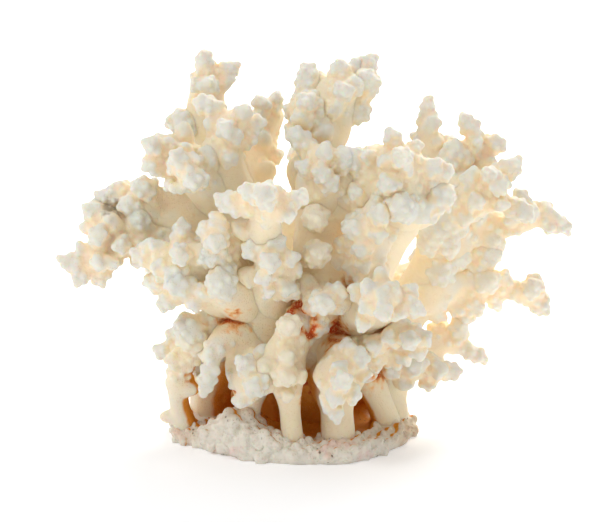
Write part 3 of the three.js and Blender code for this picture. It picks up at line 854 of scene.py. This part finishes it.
dirt = [
    ("far_left_branch", (0.3, 0.45, 0.95), 0, 11 * mm),
    ("tall_left_branch", (0.05, 0.3, 0.7), 0, 4 * mm),
    ("right_front_branch", (0.3, 0.5, 0.97), 0, 4 * mm),
    ("right_front_branch", (0.66, 0.5, 0.97), 0, 4 * mm),
    ("right_front_branch", (0.88, 0.4, 0.85), 0, 4 * mm),
]
lightSpots = [
    ("right_inner_knobs", (0.9, 0.8, 0.35), 0, 34 * mm),
    ("far_right_stem", (0.6, 0.3, 0.6), 0, 40 * mm),
    ("right_low_branch", (0.4, 0.5, 0.5), 0, 42 * mm),
    ("left_back_branch", (0.6, 0.5, 0.3), 0, 20 * mm),
]
gridLow = low - shadeAndMarkLook["margin"]
gridShape = np.ceil((high + shadeAndMarkLook["margin"] - gridLow) / shadeAndMarkLook["cell"]).astype(int)


def cellOf(points):
    cells = np.floor((points - gridLow) / shadeAndMarkLook["cell"]).astype(int)
    return tuple(np.clip(cells, 0, gridShape - 1).T)


def blurred(grid, reach):
    # Averages a grid over a few cells each way, twice.
    for axis in (0, 1, 2, 0, 1, 2):
        grid = sum(np.roll(grid, step, axis) for step in range(-reach, reach + 1)) / (2 * reach + 1)
    return grid


def sampled(grid, points):
    # The value of a grid at each point, blended between the eight cells around it.
    place = np.clip((points - gridLow) / shadeAndMarkLook["cell"] - 0.5, 0, gridShape - 1.001)
    start = place.astype(int)
    share = place - start
    value = 0
    for step in np.ndindex(2, 2, 2):
        weight = np.prod(np.where(step, share, 1 - share), axis=1)
        value = value + weight * grid[tuple((start + step).T)]
    return value


def shadeFields(cloud):
    # How full of surface each place is, and the middle of the surface around it.
    count = np.zeros(gridShape)
    np.add.at(count, cellOf(cloud), 1.0)
    sums = [np.zeros(gridShape) for axis in range(3)]
    for axis in range(3):
        np.add.at(sums[axis], cellOf(cloud), cloud[:, axis])
    near = blurred(count, shadeAndMarkLook["reliefReach"]) + 1e-9
    middles = [blurred(one, shadeAndMarkLook["reliefReach"]) / near for one in sums]
    crowd = blurred(count, shadeAndMarkLook["crowdReach"])
    return crowd / np.median(sampled(crowd, cloud)), middles


def reliefOf(middles, points, normals):
    # How far each point stands above the middle of the surface around it.
    return sum((points[:, axis] - sampled(middles[axis], points)) * normals[:, axis] for axis in range(3))


def marksOn(points, marks):
    # 1 at the middle of a mark or on its ring, fading to 0 at its reach.
    value = np.zeros(len(points))
    for node, share, ring, reach in marks:
        lowest, highest = (np.array(corner) for corner in boxes[node])
        place = lowest + (highest - lowest) * share
        gap = np.abs(np.linalg.norm(points - place, axis=1) - ring)
        value = np.maximum(value, 1 - gap / reach)
    return value


clouds = {name: vectorsOf(piece.data) for name, piece in zip(nodes, pieces)}
crowdField, middleField = shadeFields(np.concatenate(list(clouds.values())))
plateMiddle = (np.array(boxes["base_plate"][0]) + np.array(boxes["base_plate"][1])) / 2
plateHalf = (np.array(boxes["base_plate"][1]) - plateMiddle)[:2]
for name, piece in zip(nodes, pieces):
    mesh, points, look = piece.data, clouds[name], shadeAndMarkLook
    normals = vectorsOf(mesh, "normal")
    crowd = sampled(crowdField, points + normals * look["standOff"])
    crowd = np.clip((crowd - look["openCrowd"]) / (look["fullCrowd"] - look["openCrowd"]), 0, 1)
    relief = smoothStep(reliefOf(middleField, points, normals), look["hollow"], look["knob"])
    crown = 1 - smoothStep(nearestGap(points, tipsOf[name]), *look["crown"])
    crease = 1 - smoothStep(valuesOf(mesh, "gap"), *look["crease"])
    # Painted shade in the caves: low down, inside the plate, or facing inwards
    outward = (points - plateMiddle)[:, :2]
    outward /= np.linalg.norm(outward, axis=1)[:, None] + 1e-9
    inwards = 1 - smoothStep((normals[:, :2] * outward).sum(axis=1), *look["caveFacing"])
    reach = np.linalg.norm((points - plateMiddle)[:, :2] / plateHalf, axis=1)
    inside = 1 - smoothStep(reach, *look["caveInside"])
    caveShading = (1 - smoothStep(points[:, 2], *look["caveHeight"])) * np.maximum(inside, inwards)
    if slotOf[name] == "coral_branches":
        caveShading = caveShading * look["branchCave"]
    # The white of the growing ends is their own colour; taking it out of the hollows between the knobs is
    # painted shade
    setAttribute(mesh, "crown", crown * (1 - look["hollowShade"] * (1 - relief)))
    setAttribute(mesh, "crowd", np.maximum(crowd, crease * look["creaseCrowd"]))
    setAttribute(mesh, "depth", caveShading)
    setAttribute(mesh, "stain", marksOn(points, stains) * (1 - look["creaseStain"] * (1 - crease)))
    setAttribute(mesh, "glow", np.clip(marksOn(points, lightSpots), 0, 1))
    setAttribute(mesh, "dirt", marksOn(points, dirt))
    mesh.attributes.remove(mesh.attributes["gap"])
    mesh.materials.clear()
    mesh.materials.append(finishes[slotOf[name]])
    mesh.shade_smooth()
    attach(piece, "root")
    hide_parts(name)
print("surfaces coloured")


# Studio: floor, light and camera

studio = {
    "floorSize": 14.0,
    "floorGlow": 0.4,           # light that the floor gives off, as a lit table does; dimmed under the colony into a painted shadow
    "floorFade": (0.12, 0.4),   # distances from the colony over which that light grows to full
    "floorShade": (0.42, 0.42, 0.45, 1),   # painted shadow: what is left of that light under the colony
    "skyLow": 0.40,             # brightness of the studio in front and below
    "skyHigh": 0.86,            # brightness above and behind
    "target": (-5 * mm, -0.5 * mm, 71 * mm),
    "away": 0.9,
    "tilt": math.radians(12),
    "lens": 134.35,
    # Each light: its place, its size, its power and its colour
    "keyLight": ((-0.8, -0.7, 1.1), 0.5, 5, (1, 1, 1)),
    "backLight": ((0.5, 1.0, 0.9), 0.6, 15, (1, 0.96, 0.88)),
}
floorMesh = bpy.data.meshes.new("floor")
half = studio["floorSize"] / 2
floorCorners = [(-half, -half, 0), (half, -half, 0), (half, half, 0), (-half, half, 0)]
floorMesh.from_pydata(floorCorners, [], [(0, 1, 2, 3)])
floor = newThing("floor", floorMesh)
floorFinish = bpy.data.materials.new("paleFloor")
floorFinish.use_nodes = True
tree = floorFinish.node_tree
shader = tree.nodes["Principled BSDF"]
place = addNode(tree, "ShaderNodeTexCoord")[3]
far = addNode(tree, "ShaderNodeVectorMath", {"operation": "LENGTH"}, {0: place})[0]
# The floor's light dims near the colony: a painted shadow
glow = mixColour(tree, ramp(far, *studio["floorFade"]), studio["floorShade"], (1, 1, 1, 1))
tree.links.new(glow.socket, shader.inputs["Emission Color"])
shader.inputs["Base Color"].default_value = (0.95, 0.95, 0.95, 1)
shader.inputs["Roughness"].default_value = 0.9
shader.inputs["Emission Strength"].default_value = studio["floorGlow"]
floorMesh.materials.append(floorFinish)

world = bpy.data.worlds.new("studio")
world.use_nodes = True
sky = world.node_tree
direction = addNode(sky, "ShaderNodeTexCoord")[0]
parts = addNode(sky, "ShaderNodeSeparateXYZ", {}, {0: direction})
lift = ramp(parts[2] * 0.8 + parts[1] * 0.45 - parts[0] * 0.15, -0.5, 0.9)
strength = studio["skyLow"] + lift * (studio["skyHigh"] - studio["skyLow"])
sky.nodes["Background"].inputs["Color"].default_value = (1, 1, 1, 1)
sky.links.new(strength.socket, sky.nodes["Background"].inputs["Strength"])
bpy.context.scene.world = world
bpy.context.scene.view_settings.view_transform = "Standard"


def softLight(name, place, size, power, colour):
    light = bpy.data.lights.new(name, "AREA")
    light.energy, light.size, light.color = power, size, colour
    lamp = newThing(name, light)
    lamp.location = place
    lamp.rotation_euler = (Vector(studio["target"]) - Vector(place)).to_track_quat("-Z", "Y").to_euler()


for name in ("keyLight", "backLight"):
    softLight(name, *studio[name])

camera = newThing("camera", bpy.data.cameras.new("camera"))
camera.data.lens, camera.data.sensor_width = studio["lens"], 36
away = Vector((0, -math.cos(studio["tilt"]), math.sin(studio["tilt"]))) * studio["away"]
camera.location = Vector(studio["target"]) + away
camera.rotation_euler = (-away).to_track_quat("-Z", "Y").to_euler()
bpy.context.scene.camera = camera
